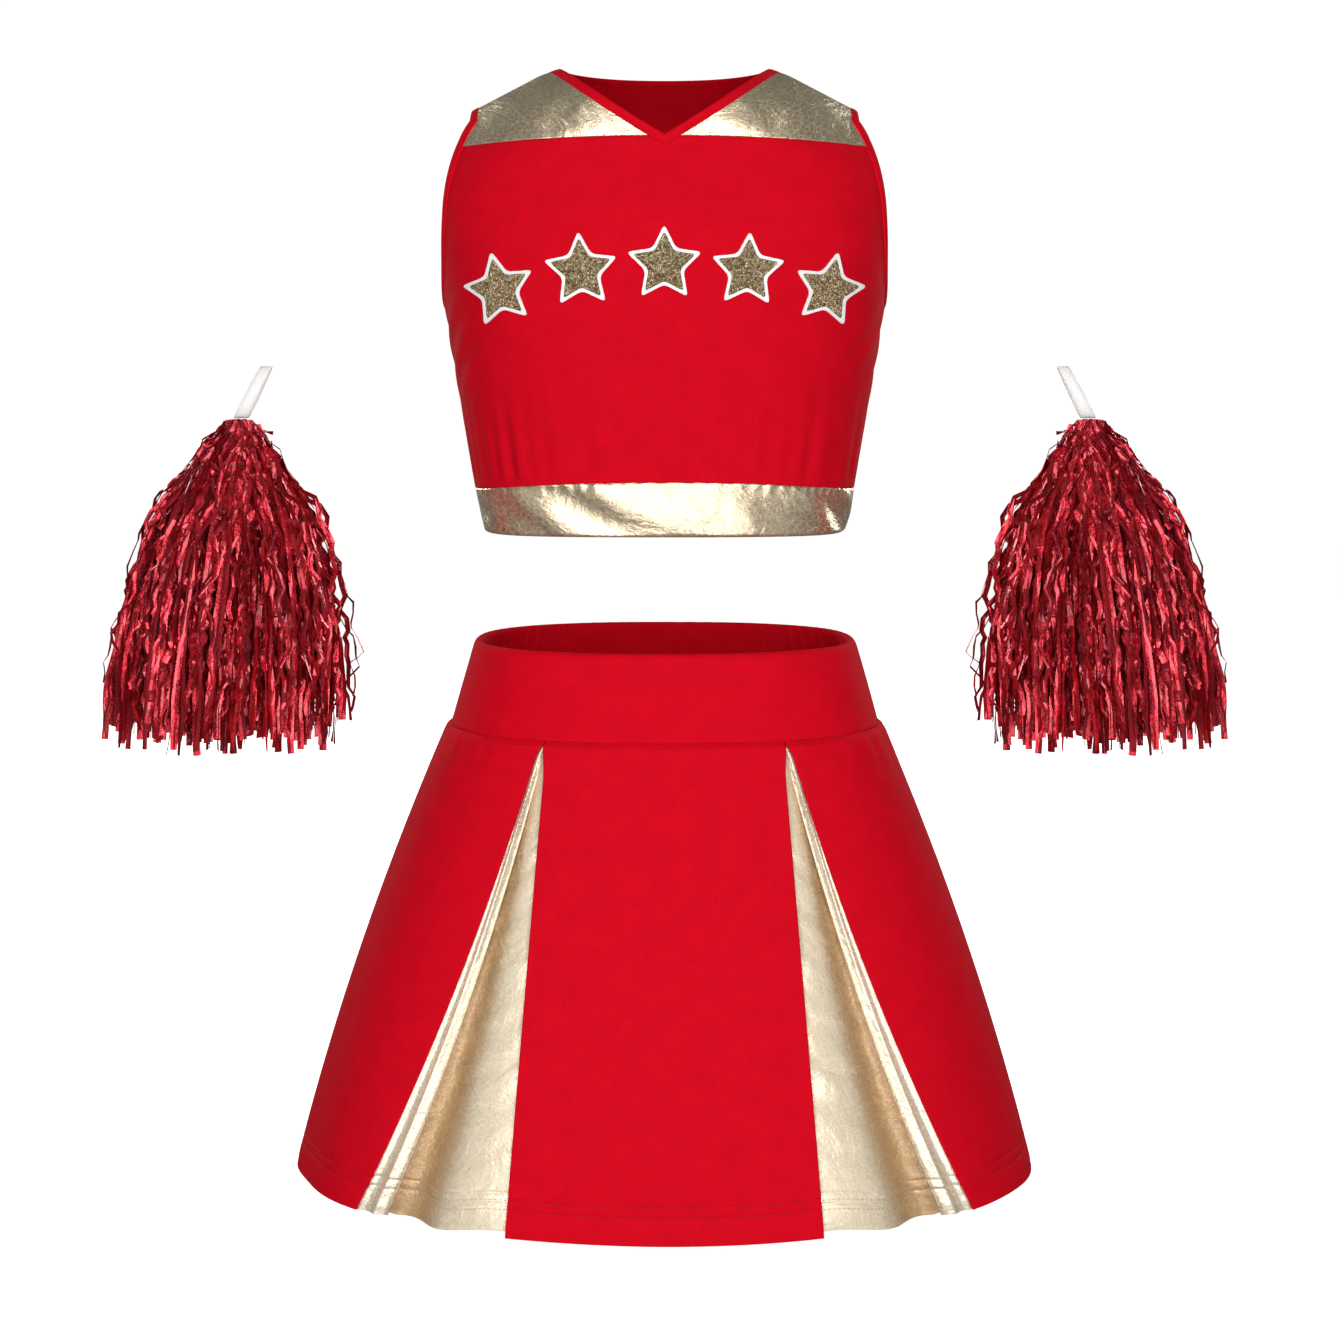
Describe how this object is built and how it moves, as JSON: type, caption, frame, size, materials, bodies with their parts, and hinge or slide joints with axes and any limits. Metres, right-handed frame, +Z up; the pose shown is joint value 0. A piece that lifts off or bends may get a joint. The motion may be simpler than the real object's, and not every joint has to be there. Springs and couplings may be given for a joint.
{
  "type": "cheer uniform",
  "caption": "Sleeveless V-neck crop top with foil yokes and hem band, an A-line skirt with foil pleats, and tinsel pom-poms on strap loops.",
  "frame": {"origin": "middle of the skirt's waist opening, at the wearer's waist", "axes": "+Z up, -Y the way the wearer faces, +X to the right of someone who faces the uniform"},
  "size_m": [0.726, 0.278, 0.724],
  "materials": {
    "red_knit": "matte stretch knit",
    "gold_foil": "crackled metallic foil on knit",
    "white_film": "white heat-set film",
    "gold_glitter": "coarse gold glitter film",
    "elastic_web": "woven elastic",
    "white_strap": "flat milky plastic strap",
    "red_tinsel": "metallised red film strips"
  },
  "bodies": {
    "skirt": {"waistband_front": "red_knit", "waistband_back": "red_knit", "waist_elastic": "elastic_web", "skirt_side_panel_left": "red_knit", "skirt_side_panel_right": "red_knit", "skirt_back_panel": "red_knit", "pleat_facing_left": "gold_foil", "pleat_facing_right": "gold_foil", "pleat_insert_left": "gold_foil", "pleat_insert_right": "gold_foil"},
    "front_panel": {"skirt_front_panel": "red_knit"},
    "top": {"top_front": "red_knit", "top_back": "red_knit", "neck_binding": "red_knit", "armhole_binding_left": "red_knit", "armhole_binding_right": "red_knit", "shoulder_yoke_left": "gold_foil", "shoulder_yoke_right": "gold_foil", "hem_band_front": "gold_foil", "hem_band_back": "gold_foil", "hem_elastic": "elastic_web", "star_border_1": "white_film", "star_glitter_1": "gold_glitter", "star_border_2": "white_film", "star_glitter_2": "gold_glitter", "star_border_3": "white_film", "star_glitter_3": "gold_glitter", "star_border_4": "white_film", "star_glitter_4": "gold_glitter", "star_border_5": "white_film", "star_glitter_5": "gold_glitter"},
    "pom_loop_left": {"pom_loop_left": "white_strap"},
    "pom_tassel_left": {"pom_tie_left": "elastic_web", "pom_crinkled_strands_left": "red_tinsel", "pom_straight_strands_left": "red_tinsel"},
    "pom_loop_right": {"pom_loop_right": "white_strap"},
    "pom_tassel_right": {"pom_tie_right": "elastic_web", "pom_crinkled_strands_right": "red_tinsel", "pom_straight_strands_right": "red_tinsel"}
  },
  "joints": [
    {"name": "top_lift", "type": "slide", "parent": "skirt", "child": "top", "axis": [0, 0, 1], "range_m": [0, 0.16]},
    {"name": "front_panel_swing", "type": "hinge", "parent": "skirt", "child": "front_panel", "pos_m": [0, -0.0995, -0.0545], "axis": [-1, 0, 0], "range_deg": [0, 20], "deforming": ["pleat_insert_left", "pleat_insert_right"]},
    {"name": "pom_carry_left", "type": "slide", "parent": "skirt", "child": "pom_loop_left", "axis": [-1, 0, 0], "range_m": [0, 0.12]},
    {"name": "pom_swing_left", "type": "hinge", "parent": "pom_loop_left", "child": "pom_tassel_left", "pos_m": [-0.273, 0, 0.139], "axis": [1, 0, 0], "range_deg": [-30, 30]},
    {"name": "pom_carry_right", "type": "slide", "parent": "skirt", "child": "pom_loop_right", "axis": [1, 0, 0], "range_m": [0, 0.12]},
    {"name": "pom_swing_right", "type": "hinge", "parent": "pom_loop_right", "child": "pom_tassel_right", "pos_m": [0.273, 0, 0.139], "axis": [1, 0, 0], "range_deg": [-30, 30]}
  ]
}
